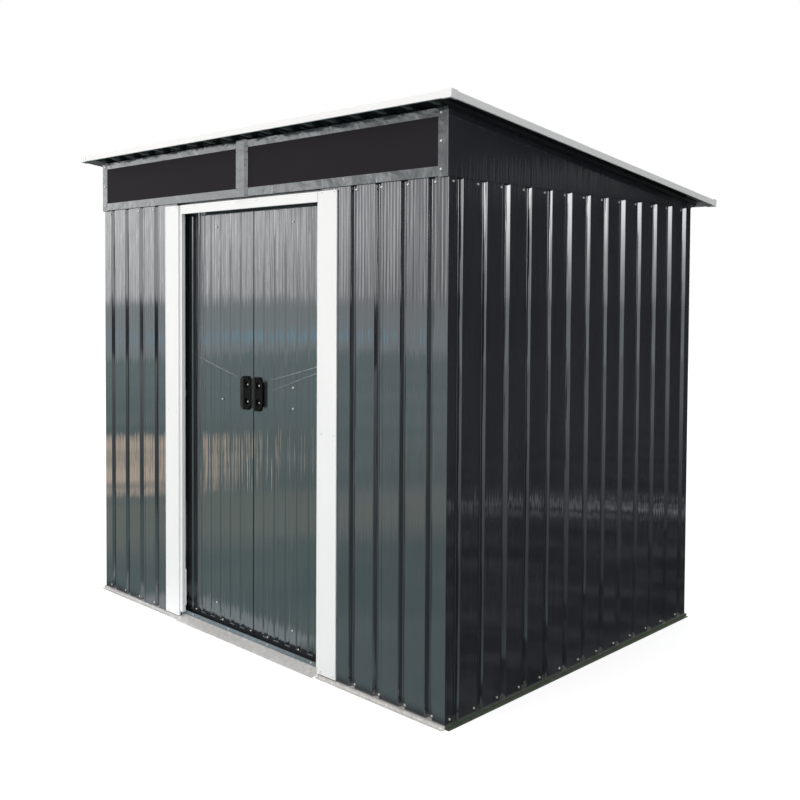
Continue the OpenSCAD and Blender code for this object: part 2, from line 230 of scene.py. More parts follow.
def door_creases(t):
    """Shallow creases, from 0 to 1, that rise outward: one on the left door, two on the right."""
    coords = t.node("ShaderNodeTexCoord")
    parts = t.node("ShaderNodeSeparateXYZ")
    t.link(coords.outputs["Object"], parts.inputs[0])
    out = t.math("ABSOLUTE", parts.outputs[0])
    on_right = t.math("GREATER_THAN", parts.outputs[0], 0.0)
    height = None
    for start_z, slope, shown in ((0.935, 0.25, 1.0), (0.890, 0.32, on_right)):
        line = t.total(t.times(out, slope), start_z)
        gap = t.math("ABSOLUTE", t.math("SUBTRACT", parts.outputs[2], line))
        ridge = t.times(t.span(gap, 0.0, 0.005, 1.0, 0.0, smooth=True),
                        t.span(out, 0.07, 0.14, smooth=True), shown)
        height = ridge if height is None else t.math("MAXIMUM", height, ridge)
    return height


def white_paint(name, low, high):
    made, t = new_material(name)
    mottle = t.noise(t.stretched(1, 1, 0.4), 6.0, 3.0)
    colour = t.mix(t.span(mottle, 0.3, 0.7), low, high)
    shader = t.node("ShaderNodeBsdfPrincipled")
    wave = t.bump(t.noise(t.stretched(1, 1, 0.15), 30.0, 2.0), 0.0006)
    peel = t.bump(t.noise(t.stretched(1, 1, 1), 700.0, 1.0), 0.00002, 0.5, wave)
    t.put(shader, Base_Color=colour, Roughness=0.48, Specular_IOR_Level=0.06, Normal=peel)
    t.surface(shader)
    return made


def zinc(name, low, high, metallic):
    """Bare galvanised steel with a fine spangle."""
    made, t = new_material(name)
    cells = t.node("ShaderNodeTexVoronoi")
    t.put(cells, Vector=t.stretched(1, 1, 1), Scale=150.0)
    spangle = t.span(cells.outputs["Color"], 0.0, 1.0, 0.0, 1.0)
    cloud = t.noise(t.stretched(1, 1, 1), 22.0, 4.0, 0.6)
    blend = t.heading(spangle, cloud, 0.5, 0.5)
    colour = t.mix(t.span(blend, 0.25, 0.8), low, high)
    rough = t.span(blend, 0.2, 0.8, 0.32, 0.5)
    shader = t.node("ShaderNodeBsdfPrincipled")
    t.put(shader, Base_Color=colour, Roughness=rough, Metallic=metallic,
          Normal=t.bump(spangle, 0.00003, 0.5))
    t.surface(shader)
    return made


def band_paint():
    """Glossy grey paint of the window band, on slightly wavy trim with a few short bright scratches."""
    made, t = new_material("band_metal")
    streak = t.noise(t.stretched(1.0, 1, 2.2), 7.0, 3.0, 0.6)
    colour = t.mix(t.span(streak, 0.35, 0.7), (0.045, 0.055, 0.058), (0.075, 0.085, 0.088))
    mark = t.node("ShaderNodeTexVoronoi", feature="DISTANCE_TO_EDGE")
    t.put(mark, Vector=t.stretched(1, 1, 0.6), Scale=24.0)
    thin = t.math("LESS_THAN", mark.outputs["Distance"], 0.014)
    rare = t.math("GREATER_THAN", t.noise(t.stretched(3.0, 3.0, 1.0), 11.0, 1.0), 0.68)
    worn = t.mix(t.times(thin, rare, 0.6), colour, (0.6, 0.62, 0.63))
    rough = t.span(streak, 0.3, 0.7, 0.08, 0.2)
    normal = t.bump(t.noise(t.stretched(1, 1, 1.4), 9.0, 3.0), 0.0060)
    shader = t.node("ShaderNodeBsdfPrincipled")
    t.put(shader, Base_Color=worn, Roughness=rough, IOR=1.9,
          Normal=t.bump(t.noise(t.stretched(1, 1, 1), 260.0, 2.0), 0.00006, 0.7, normal))
    t.surface(shader)
    return made


def black_moulding():
    """Moulded black plastic, with painted light and shade: paler where the grips stand out from the
    doors, darker near the doors.
    """
    made, t = new_material("black_plastic")
    grain = t.noise(t.stretched(1, 1, 1), 1500.0, 2.0)
    parts = t.node("ShaderNodeSeparateXYZ")
    t.link(t.stretched(1, 1, 1), parts.inputs[0])
    # Painted light and shade: paler where the plastic stands more than 11.5 mm out from the doors, darker
    # within 8.5 mm of them
    painted_grip_light = t.span(parts.outputs[1], LEAF_PLANE - 8.5 * MM, LEAF_PLANE - 11.5 * MM)
    cloudy = t.span(t.noise(t.stretched(1, 1, 1), 45.0, 3.0), 0.3, 0.7, 0.5, 1.0)
    colour = t.mix(t.times(painted_grip_light, cloudy), (0.0025, 0.0025, 0.0024), (0.030, 0.030, 0.028))
    shader = t.node("ShaderNodeBsdfPrincipled")
    t.put(shader, Base_Color=colour, Roughness=0.38, Specular_IOR_Level=0.06,
          Normal=t.bump(grain, 0.00005, 0.6))
    t.surface(shader)
    return made


def glazing_sheet():
    """Opaque black sheet with a dull sheen and faint handling marks."""
    made, t = new_material("black_glazing")
    marks = t.noise(t.stretched(1, 1, 1.6), 4.0, 4.0, 0.65)
    colour = t.mix(t.span(marks, 0.3, 0.7), (0.0180, 0.0155, 0.0185), (0.0215, 0.0185, 0.0220))
    rough = t.span(marks, 0.3, 0.7, 0.6, 0.7)
    shader = t.node("ShaderNodeBsdfPrincipled")
    t.put(shader, Base_Color=colour, Roughness=rough, Specular_IOR_Level=0.05,
          Normal=t.bump(t.noise(t.stretched(1, 1, 1), 400.0, 1.0), 0.00003, 0.5))
    t.surface(shader)
    return made


def bright_zinc():
    """Plated screws."""
    made, t = new_material("screw_zinc")
    colour = t.mix(t.noise(t.stretched(1, 1, 1), 220.0, 2.0), (0.66, 0.65, 0.60), (0.84, 0.84, 0.82))
    shader = t.node("ShaderNodeBsdfPrincipled")
    t.put(shader, Base_Color=colour, Roughness=0.3, Metallic=0.7)
    t.surface(shader)
    return made


def rubber():
    made, t = new_material("screw_washer")
    colour = t.mix(t.noise(t.stretched(1, 1, 1), 300.0, 2.0), (0.02, 0.02, 0.02), (0.05, 0.05, 0.05))
    shader = t.node("ShaderNodeBsdfPrincipled")
    t.put(shader, Base_Color=colour, Roughness=0.7)
    t.surface(shader)
    return made


FINISH = {
    "wall_paint": painted_sheet("wall_paint", (0.0270, 0.0295, 0.0355), 0.0011),
    "door_paint": painted_sheet("door_paint", (0.0280, 0.0335, 0.0370), 0.0016, creases=True),
    "roof_paint": painted_sheet("roof_paint", (0.0280, 0.0360, 0.0355), 0.0010),
    "white_trim": white_paint("white_trim", (0.845, 0.85, 0.84), (0.875, 0.875, 0.865)),
    "band_metal": band_paint(),
    "galvanised": zinc("galvanised", (0.54, 0.54, 0.525), (0.76, 0.76, 0.73), 0.4),
    "black_plastic": black_moulding(),
    "black_glazing": glazing_sheet(),
}
# A darker, greenish copy of the galvanised finish for the side and back base rails: painted shade, with a
# painted reflection of grass
PAINTED_SHADE_ZINC = zinc("galvanised_painted_shade", (0.14, 0.17, 0.13), (0.22, 0.25, 0.20), 0.9)
# Darker than the other white trims, because the front fascia clips under the key lamp
EAVES_WHITE = white_paint("white_eaves", (0.79, 0.79, 0.78), (0.82, 0.82, 0.81))
# A darker, bluish copy of the galvanised finish for the door track: painted shade, tinted blue
PAINTED_SHADE_TRACK_ZINC = zinc("galvanised_track_painted_shade", (0.15, 0.185, 0.205), (0.24, 0.285, 0.31), 0.6)
SCREW_METAL = bright_zinc()
WASHER = rubber()
SLOT_OF = {p["node"]: p["material_slot"] for p in frame["record"]["subparts"]}
BODY_OF = {n: body for body, names in frame["record"]["behaviour"]["bodies"].items() for n in names}

for name, obj in nodes.items():
    obj.data.materials.clear()
    obj.data.materials.append(FINISH[SLOT_OF[name]])
# Painted shade: the side and back base rails take the darker, greenish copy of the galvanised finish
for name in ("base_rail_left", "base_rail_right", "base_rail_back"):
    nodes[name].data.materials[0] = PAINTED_SHADE_ZINC
# Painted shade: the door track takes the darker, bluish copy of the galvanised finish
nodes["door_bottom_track"].data.materials[0] = PAINTED_SHADE_TRACK_ZINC
for name in ("fascia_front", "fascia_back", "fascia_left", "fascia_right", "roof_corner_caps"):
    nodes[name].data.materials[0] = EAVES_WHITE


# ---- Mesh helpers ----


def finish_mesh(obj, angle=36):
    """Smooth shading with sharp folds kept crisp and broad faces kept flat."""
    obj.data.shade_smooth()
    obj.data.set_sharp_from_angle(angle=math.radians(angle))
    weighted = obj.modifiers.new("normals", "WEIGHTED_NORMAL")
    weighted.keep_sharp = True


def new_piece(name, vertices, faces, body, materials, replaces=(), face_materials=None):
    mesh = bpy.data.meshes.new(name)
    mesh.from_pydata(vertices, [], faces)
    for material in materials:
        mesh.materials.append(material)
    if face_materials:
        mesh.polygons.foreach_set("material_index", face_materials)
    face_outward(mesh)
    return placed(name, mesh, body, replaces)


def face_outward(mesh):
    bm = bmesh.new()
    bm.from_mesh(mesh)
    bmesh.ops.recalc_face_normals(bm, faces=bm.faces)
    bm.to_mesh(mesh)
    bm.free()


def placed(name, mesh, body, replaces=()):
    obj = bpy.data.objects.new(name, mesh)
    bpy.context.scene.collection.objects.link(obj)
    finish_mesh(obj)
    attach(obj, body)
    if replaces:
        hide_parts(*replaces)
    return obj


def rounded(points, radius=BEND_R, steps=BEND_STEPS):
    """A line through 2-D points with its corners rounded off."""
    line = [Vector(points[0])]
    for before, corner, after in zip(points, points[1:], points[2:]):
        corner = Vector(corner)
        to_before = Vector(before) - corner
        to_after = Vector(after) - corner
        turn = math.pi - to_before.angle(to_after)
        if turn < 1e-4:
            line.append(corner)
            continue
        reach = min(radius * math.tan(turn / 2), 0.48 * to_before.length, 0.48 * to_after.length)
        start = corner + to_before.normalized() * reach
        end = corner + to_after.normalized() * reach
        for i in range(steps + 1):
            s = i / steps
            line.append(start * (1 - s) ** 2 + corner * (2 * s * (1 - s)) + end * s ** 2)
    line.append(Vector(points[-1]))
    return line


def offset_line(line, distance):
    """The line moved sideways, to its left, by a distance."""
    moved = []
    for i, point in enumerate(line):
        a = line[max(i - 1, 0)]
        b = line[min(i + 1, len(line) - 1)]
        along = (b - a).normalized()
        moved.append(point + Vector((-along.y, along.x)) * distance)
    return moved


def sweep_sheet(line, thickness, levels, place):
    """Vertices and faces of a folded sheet: a 2-D line with thickness, drawn out through levels.

    place(u, d, h) turns a distance along the sheet, a depth into it and a height into a point.
    """
    back = offset_line(line, thickness)
    count = len(line)
    vertices = [place(p.x, p.y, h) for h in levels for side in (line, back) for p in side]
    faces = []
    for k in range(len(levels) - 1):
        low = k * 2 * count
        high = low + 2 * count
        for i in range(count - 1):
            faces.append((low + i, low + i + 1, high + i + 1, high + i))
            j = count + i
            faces.append((low + j + 1, low + j, high + j, high + j + 1))
        faces.append((low + count, low, high, high + count))
        last = count - 1
        faces.append((low + last, low + count + last, high + count + last, high + last))
    top = (len(levels) - 1) * 2 * count
    for i in range(count - 1):
        faces.append((i + 1, i, count + i, count + i + 1))
        faces.append((top + i, top + i + 1, top + count + i + 1, top + count + i))
    return vertices, faces


def merged(parts):
    """Joins (vertices, faces) pairs."""
    vertices, faces = [], []
    for more_vertices, more_faces in parts:
        start = len(vertices)
        vertices.extend(more_vertices)
        faces.extend(tuple(i + start for i in face) for face in more_faces)
    return vertices, faces


def softened(node, width=0.7 * MM, steps=2, fold=25):
    """A copy of a CAD node with its edges rounded, in its place."""
    mesh = nodes[node].data.copy()
    bm = bmesh.new()
    bm.from_mesh(mesh)
    bmesh.ops.remove_doubles(bm, verts=bm.verts, dist=1e-5)
    bmesh.ops.dissolve_limit(bm, angle_limit=math.radians(0.5), verts=bm.verts, edges=bm.edges)
    folds = [e for e in bm.edges if len(e.link_faces) == 2 and e.calc_face_angle(0) > math.radians(fold)]
    bmesh.ops.bevel(bm, geom=folds, offset=width, offset_type="OFFSET", segments=steps, profile=0.5,
                    affect="EDGES", clamp_overlap=True)
    bmesh.ops.recalc_face_normals(bm, faces=bm.faces)
    bm.to_mesh(mesh)
    bm.free()
    return placed(node + "_softened", mesh, BODY_OF[node], [node])


# ---- Places on the four sides ----


def on_front(u, d, h):
    return Vector((-HALF_W + u, FRONT_Y + d, h))


def on_back(u, d, h):
    return Vector((HALF_W - u, BACK_Y - d, h))


def on_right(u, d, h):
    return Vector((HALF_W - d, FRONT_Y + u, h))


def on_left(u, d, h):
    return Vector((-HALF_W + d, BACK_Y - u, h))


# ---- Grooved sheets ----


def groove_points(centre, depth=GROOVE_D, flank=GROOVE_FLANK):
    half = GROOVE_W / 2
    return [(centre - half, 0), (centre - half + flank, depth),
            (centre + half - flank, depth), (centre + half, 0)]


def wave_points(start, end):
    """The flat between two grooves, with the fine waves rolled into it."""
    room = end - start - 2 * WAVE_MARGIN
    waves = int(room / WAVE_PITCH + 0.2)
    if waves < 1:
        return []
    first = (start + end - waves * WAVE_PITCH) / 2
    strength = dice.uniform(0.45, 1.0) * WAVE_D
    points = []
    for i in range(waves * WAVE_STEPS + 1):
        turn = i / WAVE_STEPS * math.tau
        points.append(Vector((first + i * WAVE_PITCH / WAVE_STEPS, strength * (1 - math.cos(turn)) / 2)))
    return points


def sheet_line(length, centres, depth=GROOVE_D, corners=(False, False)):
    """The outer line of a grooved sheet. A corner adds a short leg that folds back at that end."""
    line = []
    edge = 0.0
    if corners[0]:
        line += rounded([(0, CORNER_LEG), (0, 0), (GROOVE_W / 2, 0)])[:-1]
    else:
        line.append(Vector((0, 0)))
    for centre in centres:
        groove = groove_points(centre, depth)
        line += wave_points(edge, groove[0][0])
        before = (groove[0][0] - WAVE_MARGIN / 2, 0)
        after = (groove[3][0] + WAVE_MARGIN / 2, 0)
        line += rounded([before] + groove + [after])[1:-1]
        edge = groove[3][0]
    line += wave_points(edge, length)
    if corners[1]:
        line += rounded([(length - GROOVE_W / 2, 0), (length, 0), (length, CORNER_LEG)])[1:]
    else:
        line.append(Vector((length, 0)))
    return line


def lap_strip(centre, low, high, place, depth=GROOVE_D):
    """The edge of the next sheet, which laps over one groove."""
    half = GROOVE_W / 2 + LAP_SIDE
    points = [(centre - half, 0)] + groove_points(centre, depth, LAP_FLANK) + [(centre + half, 0)]
    line = [p - Vector((0, LAP_RISE)) for p in rounded(points)]
    return sweep_sheet(line, LAP_RISE, [low, high], place)


def sheet_piece(node, line, levels, place, centres=(), laps=(), depth=GROOVE_D):
    """A piece made of lapped grooved sheets, in place of its CAD node."""
    parts = [sweep_sheet(line, SKIN, levels, place)]
    parts += [lap_strip(centres[i], levels[0], levels[-1], place, depth) for i in laps]
    vertices, faces = merged(parts)
    return new_piece(node + "_sheets", vertices, faces, "shed",
                     [FINISH[SLOT_OF[node]]], [node])


def row_of(first, count):
    return [first + i * GROOVE_PITCH for i in range(count)]


SIDE_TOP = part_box("right_wall")[1].z
FRONT_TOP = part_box("front_wall_right")[1].z
BACK_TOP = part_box("back_wall")[1].z
FRONT_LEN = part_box("front_wall_left")[1].x + HALF_W
SIDE_COUNT = 1 + round((WALL_D - 2 * SIDE_GROOVE) / GROOVE_PITCH)
BACK_COUNT = int((2 * HALF_W - GROOVE_PITCH) // GROOVE_PITCH) + 1
SIDE_ROW = row_of(SIDE_GROOVE, SIDE_COUNT)
FRONT_ROW = row_of(FRONT_GROOVE, 4)
BACK_ROW = row_of((2 * HALF_W - (BACK_COUNT - 1) * GROOVE_PITCH) / 2, BACK_COUNT)


def build_walls():
    side_len = WALL_D - 2 * CORNER_LEG
    side_row = [c - CORNER_LEG for c in SIDE_ROW]
    side_levels = [CURB_Z, SIDE_TOP]
    front_levels = [CURB_Z, FRONT_TOP]

    def right_place(u, d, h):
        return on_right(u + CORNER_LEG, d, h)

    def left_place(u, d, h):
        return on_left(u + CORNER_LEG, d, h)

    def front_right_place(u, d, h):
        return on_front(u + 2 * HALF_W - FRONT_LEN, d, h)

    sheet_piece("right_wall", sheet_line(side_len, side_row), side_levels, right_place, side_row,
                range(2, SIDE_COUNT, 3))
    sheet_piece("left_wall", sheet_line(side_len, side_row), side_levels, left_place, side_row,
                range(1, SIDE_COUNT, 3))
    back_line = sheet_line(2 * HALF_W, BACK_ROW, corners=(True, True))
    sheet_piece("back_wall", back_line, [CURB_Z, BACK_TOP], on_back, BACK_ROW, range(3, BACK_COUNT, 4))
    left_line = sheet_line(FRONT_LEN, FRONT_ROW, corners=(True, False))
    sheet_piece("front_wall_left", left_line, front_levels, on_front, FRONT_ROW, [2])
    right_row = [FRONT_LEN - c for c in reversed(FRONT_ROW)]
    right_line = sheet_line(FRONT_LEN, right_row, corners=(False, True))
    sheet_piece("front_wall_right", right_line, front_levels, front_right_place, right_row, [1])


ROOF_ANGLE = math.atan(ROOF_FALL)
ROOF_ALONG = Vector((0, math.cos(ROOF_ANGLE), -math.sin(ROOF_ANGLE)))
ROOF_UP = Vector((0, math.sin(ROOF_ANGLE), math.cos(ROOF_ANGLE)))
ROOF_FROM = Vector((0, FRONT_Y - EAVE_FRONT, ROOF_TOP))
ROOF_SPAN = 2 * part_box("roof_sheet")[1].x
ROOF_RUN = (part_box("roof_sheet")[1].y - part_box("roof_sheet")[0].y) / math.cos(ROOF_ANGLE)
ROOF_ROW = row_of((ROOF_SPAN - (ROOF_GROOVES - 1) * GROOVE_PITCH) / 2, ROOF_GROOVES)


def on_roof(u, d, s):
    """u across from the left edge of the sheet, d down into it, s down the slope from its front edge."""
    start = ROOF_FROM + ROOF_ALONG * (ROOF_INSET + s) - ROOF_UP * (TRIM_T + d)
    return start + Vector((u - ROOF_SPAN / 2, 0, 0))


def build_roof():
    run = ROOF_RUN - 2 * MM
    line = sheet_line(ROOF_SPAN, ROOF_ROW, ROOF_GROOVE_D)
    sheet_piece("roof_sheet", line, [0, run], on_roof)


build_walls()
build_roof()


# ---- Trims, rails and door leaves with softened edges ----

for name in ("base_rail_front", "base_rail_back", "base_rail_left", "base_rail_right", "threshold_ramp",
             "door_bottom_track", "door_jamb_left", "door_jamb_right", "door_header",
             "band_bottom_rail", "band_top_rail", "band_stile_left", "band_stile_right",
             "band_mullion", "window_panel_left", "window_panel_right", "gable_panel_left",
             "gable_panel_right", "fascia_front", "fascia_back", "fascia_left", "fascia_right",
             "roof_corner_caps", "door_meeting_strip"):
    softened(name)
for name in ("door_leaf_left", "door_leaf_right"):
    softened(name, 1.2 * MM, 3)
for name in ("door_handle_left", "door_handle_right"):
    softened(name, 1.4 * MM, 3, 20)


# ---- Screws ----

WALL_SCREW_TOP = 1598 * MM
WALL_SCREW_LOW = 25 * MM
# How far the wall screws stand from the middle of a groove. On the side walls they keep out of the
# lit strips, where they would be mirrored as dark dots.
SCREW_OFFSET = 17 * MM
SIDE_WALL_SCREW_OFFSET = 30 * MM
BACK_SCREW_DROP = 14 * MM
ROOF_SCREW_START = 8 * MM
ROOF_SCREW_LINES = 4
# Places on the front, in millimetres from the middle of the doorway and from the ground
STILE_SCREWS = [(side * 948, z) for side in (-1, 1) for z in (1632, 1713, 1794)]
HEADER_SCREWS = [(x, 1596) for x in (-300, -34, 80.5, 300)]
JAMB_SCREWS = ([(x, z) for x in (426, 486) for z in (23, 812, 1599)]
               + [(x, z) for x in (-421, -476) for z in (22, 812, 1597)])
TRACK_SCREWS = [(x, 27) for x in (-345, -115, 115, 352)]
RIGHT_LEAF_SCREWS = [(223, 97), (223, 1517), (224, 945), (224, 872), (85, 39), (255, 39), (395, 39)]
LEFT_LEAF_SCREWS = [(-223, 97), (-223, 1517), (-187, 874), (-187, 39), (-14, 39), (-360, 39)]
HANDLE_SCREW_HEIGHTS = (877, 939)
HEX_SIDES = 6
ROUND_SIDES = 16


def lathe(profile, sides):
    """A closed solid of revolution about Z through (radius, height) points, as (vertices, faces)."""
    vertices = []
    for radius, height in profile:
        for i in range(sides):
            turn = math.tau * i / sides
            vertices.append(Vector((radius * math.cos(turn), radius * math.sin(turn), height)))
    faces = [tuple(reversed(range(sides)))]
    for k in range(len(profile) - 1):
        for i in range(sides):
            j = (i + 1) % sides
            faces.append((k * sides + i, k * sides + j, (k + 1) * sides + j, (k + 1) * sides + i))
    top = (len(profile) - 1) * sides
    faces.append(tuple(range(top, top + sides)))
    return vertices, faces


def hex_screw():
    """A hex head with a flange on a dark sealing washer: (metal parts, washer parts)."""
    flange = lathe([(3.9 * MM, 0.8 * MM), (3.9 * MM, 1.2 * MM), (3.3 * MM, 1.6 * MM)], ROUND_SIDES)
    head = lathe([(3.2 * MM, 1.1 * MM), (3.2 * MM, 3.3 * MM), (2.6 * MM, 3.9 * MM)], HEX_SIDES)
    washer = lathe([(4.8 * MM, -0.3 * MM), (4.8 * MM, 0.5 * MM), (4.2 * MM, 1.0 * MM)], ROUND_SIDES)
    return [flange, head], [washer]


def pan_screw():
    """A small domed head with a dimple in the middle: (metal parts, washer parts)."""
    dome = lathe([(3.0 * MM, -0.2 * MM), (3.0 * MM, 0.5 * MM), (2.6 * MM, 1.3 * MM), (1.6 * MM, 1.8 * MM),
                  (0.8 * MM, 1.9 * MM), (0.7 * MM, 1.1 * MM)], ROUND_SIDES)
    return [dome], []


def screws(name, body, places, make=hex_screw):
    """One mesh of screws at (point, outward direction) places, each turned at random."""
    vertices, faces, marks = [], [], []
    for at, out in places:
        tilt = Matrix.Rotation(math.radians(dice.uniform(-3, 3)), 4, "X")
        spin = Matrix.Rotation(dice.uniform(0, math.tau), 4, "Z")
        turn = Vector(out).to_track_quat("Z", "Y").to_matrix().to_4x4()
        put = Matrix.Translation(at) @ turn @ tilt @ spin
        for mark, group in enumerate(make()):
            for part_vertices, part_faces in group:
                start = len(vertices)
                vertices += [put @ v for v in part_vertices]
                faces += [tuple(i + start for i in face) for face in part_faces]
                marks += [mark] * len(part_faces)
    return new_piece(name, vertices, faces, body, [SCREW_METAL, WASHER], (), marks)


def front_at(x, z, depth=0.0):
    """A point on the front, x from the middle, with the direction out of the wall."""
    return Vector((x * MM, FRONT_Y + depth * MM, z * MM)), (0, -1, 0)


def build_screws():
    heights = (WALL_SCREW_LOW, WALL_SCREW_TOP)
    right = [(on_right(u - SIDE_WALL_SCREW_OFFSET, 0, z), (1, 0, 0)) for u in SIDE_ROW for z in heights]
    left = [(on_left(u + SIDE_WALL_SCREW_OFFSET, 0, z), (-1, 0, 0)) for u in SIDE_ROW for z in heights]
    back_heights = (WALL_SCREW_LOW, BACK_TOP - BACK_SCREW_DROP)
    back = [(on_back(u - SCREW_OFFSET, 0, z), (0, 1, 0)) for u in BACK_ROW for z in back_heights]
    front = []
    for u in FRONT_ROW:
        for z in heights:
            front.append((on_front(u - SCREW_OFFSET, 0, z), (0, -1, 0)))
            front.append((on_front(2 * HALF_W - u + SCREW_OFFSET, 0, z), (0, -1, 0)))
    screws("right_wall_screws", "shed", right)
    screws("left_wall_screws", "shed", left)
    screws("back_wall_screws", "shed", back)
    screws("front_wall_screws", "shed", front)

    stiles = [front_at(x, z, -8) for x, z in STILE_SCREWS]
    screws("stile_screws", "shed", stiles)
    trim = [front_at(x, z, -6) for x, z in HEADER_SCREWS] + [front_at(x, z, -5) for x, z in JAMB_SCREWS]
    screws("trim_screws", "shed", trim, pan_screw)
    track = [front_at(x, z, 18) for x, z in TRACK_SCREWS]
    screws("track_screws", "shed", track, pan_screw)

    crests = [u + GROOVE_PITCH / 2 for u in ROOF_ROW[:-1]]
    lines = [EAVE_FRONT + ROOF_SCREW_START + k * WALL_D / (ROOF_SCREW_LINES - 1)
             for k in range(ROOF_SCREW_LINES)]
    top = [(on_roof(u, 0, s), ROOF_UP) for u in crests[::2] for s in lines]
    screws("roof_screws", "shed", top)

    leaf = (LEAF_PLANE - FRONT_Y) / MM
    for body, name, places in (("right_door", "right_leaf_screws", RIGHT_LEAF_SCREWS),
                               ("left_door", "left_leaf_screws", LEFT_LEAF_SCREWS)):
        screws(name, body, [front_at(x, z, leaf) for x, z in places])
    for body, x in (("left_door", -28), ("right_door", 39)):
        heads = [front_at(x, z, leaf - 4) for z in HANDLE_SCREW_HEIGHTS]
        screws(body + "_handle_screws", body, heads, pan_screw)


build_screws()


# ---- Camera ----

CAMERA_AT = Vector((2.8423, -2.8434, 1.2792))
CAMERA_YAW = math.radians(44.153)
CAMERA_PITCH = math.radians(-1.92)
CAMERA_ROLL = math.radians(0.337)
CAMERA_LENS = 44.216
CAMERA_SENSOR = 36.0
CAMERA_SHIFT = -0.0944


def add_camera():
    data = bpy.data.cameras.new("camera")
    data.lens = CAMERA_LENS
    data.sensor_width = CAMERA_SENSOR
    data.shift_y = CAMERA_SHIFT
    forward = Vector((-math.sin(CAMERA_YAW) * math.cos(CAMERA_PITCH),
                      math.cos(CAMERA_YAW) * math.cos(CAMERA_PITCH), math.sin(CAMERA_PITCH)))
    level_right = Vector((math.cos(CAMERA_YAW), math.sin(CAMERA_YAW), 0))
    level_up = level_right.cross(forward)
    right = level_right * math.cos(CAMERA_ROLL) + level_up * math.sin(CAMERA_ROLL)
    up = -level_right * math.sin(CAMERA_ROLL) + level_up * math.cos(CAMERA_ROLL)
    camera = bpy.data.objects.new("camera", data)
    turn = Matrix((right, up, -forward)).transposed().to_4x4()
    camera.matrix_world = Matrix.Translation(CAMERA_AT) @ turn
    bpy.context.scene.collection.objects.link(camera)
    bpy.context.scene.camera = camera


add_camera()


# ---- Floor, world and lamps ----

# Only the camera sees the pale floor and the white world. Every other ray meets a ground and a sky that
# the shed mirrors, and that light it too. Their places and levels were tuned against the photo
# from the camera's angle. They are emitted light, so a colour may pass 1.

FLOOR_REACH = 13.5
FLOOR_COLOUR = (0.55, 0.55, 0.55, 1)
FLOOR_LIFT = (0.62, 0.62, 0.62, 1)
NEAR_GRASS = ((0.24, 0.36, 0.36), (0.38, 0.49, 0.49))
FAR_GRASS = ((0.38, 0.54, 0.55), (0.54, 0.68, 0.69))
DRY_GRASS = (0.74, 0.76, 0.62)
BARE_EARTH = (1.75, 1.45, 1.15)
GRASS_BESIDE = ((0.12, 0.14, 0.14), (0.50, 0.54, 0.54))
SHADE = ((0.012, 0.015, 0.012), (0.075, 0.080, 0.080))
LIT_SHADE = (0.50, 0.53, 0.56)
DOOR_FOOT = (0.80, 0.90, 0.95)
SKY_TINT = (0.98, 0.99, 1.0)
HAZE_TINT = (0.85, 0.95, 0.98)
WATER_TINT = (0.42, 0.78, 1.0)
# Directions over the ground, as (east, north), where east is +X and north is +Y
GROUND_ALONG = (-0.83, -0.557)
GROUND_ACROSS = (0.557, -0.83)
LIT_ALONG = (0.555, 0.832)
LEFT_WAY = (-0.906, -0.423)
FRONT_WAY = (0.29, -0.957)
BESIDE_WAY = (0.5, -0.866)
CORNER_WAY = (0.883, -0.469)
HAZE_WAY = (-0.64, -0.77)
SHEEN_WAY = (0.558, 0.83)


def reflected_ground(t, place, x, y):
    """Grass in front, dry and bare in places, darker to the right, and shade from the front wall back."""
    patches = t.span(t.noise(place, 0.9, 4.0), 0.35, 0.65)
    grass = t.mix(t.span(y, -1.5, -6.0), t.mix(patches, *NEAR_GRASS), t.mix(patches, *FAR_GRASS))

    ragged = t.times(t.noise(place, 2.2, 3.0), 0.9)
    across = t.heading(x, y, *GROUND_ACROSS)
    along = t.total(t.heading(x, y, *GROUND_ALONG), ragged)
    grass = t.mix(t.within(along, 2.9, 0.35, 0.85, 0.42, smooth=True), grass, DRY_GRASS)
    bare = t.times(t.within(along, 4.9, 1.2, 1.35), t.span(across, 0.48, 0.58, 1.0, 0.0))
    worn = t.span(t.noise(place, 1.6, 3.0), 0.38, 0.50, 0.35, 1.0)
    grass = t.mix(t.times(bare, worn), grass, BARE_EARTH)
    beside = t.mix(t.span(y, -1.0, -6.0), *GRASS_BESIDE)
    grass = t.mix(t.span(x, 0.8, 1.4, smooth=True), grass, beside)

    shade = t.mix(t.span(t.noise(place, 3.5, 3.0), 0.45, 0.62), *SHADE)
    lit = t.within(t.heading(x, y, *LIT_ALONG), 3.15, 0.1, 0.5, smooth=True)
    lit = t.times(lit, t.span(x, 2.8, 3.1, 1.0, 0.0), t.span(x, 1.5, 1.8),
                  t.span(t.noise(place, 4.0, 2.0), 0.48, 0.58))
    shade = t.mix(lit, shade, LIT_SHADE)
    ground = t.mix(t.span(y, -0.80, -0.72, smooth=True), grass, shade)
    foot = t.times(t.span(y, -0.87, -0.83), t.span(x, -0.80, -0.70), t.span(x, 0.10, 0.20, 1.0, 0.0))
    return t.mix(foot, ground, DOOR_FOOT)


def add_floor():
    """A pale floor to the camera, and an outdoor ground to every other ray."""
    mesh = bpy.data.meshes.new("floor")
    r = FLOOR_REACH
    mesh.from_pydata([(-r, -r, 0), (r, -r, 0), (r, r, 0), (-r, r, 0)], [], [(0, 1, 2, 3)])
    made, t = new_material("floor")
    pale = t.put(t.node("ShaderNodeBsdfDiffuse"), Color=FLOOR_COLOUR)
    lift = t.put(t.node("ShaderNodeEmission"), Color=FLOOR_LIFT)
    shown = t.node("ShaderNodeAddShader")
    t.link(pale.outputs[0], shown.inputs[0])
    t.link(lift.outputs[0], shown.inputs[1])

    place = t.stretched(1, 1, 1)
    parts = t.node("ShaderNodeSeparateXYZ")
    t.link(place, parts.inputs[0])
    ground = reflected_ground(t, place, parts.outputs[0], parts.outputs[1])
    turf = t.put(t.node("ShaderNodeEmission"), Color=ground)
    t.by_camera("ShaderNodeOutputMaterial", shown, turf)
    mesh.materials.append(made)
    floor = bpy.data.objects.new("floor", mesh)
    bpy.context.scene.collection.objects.link(floor)


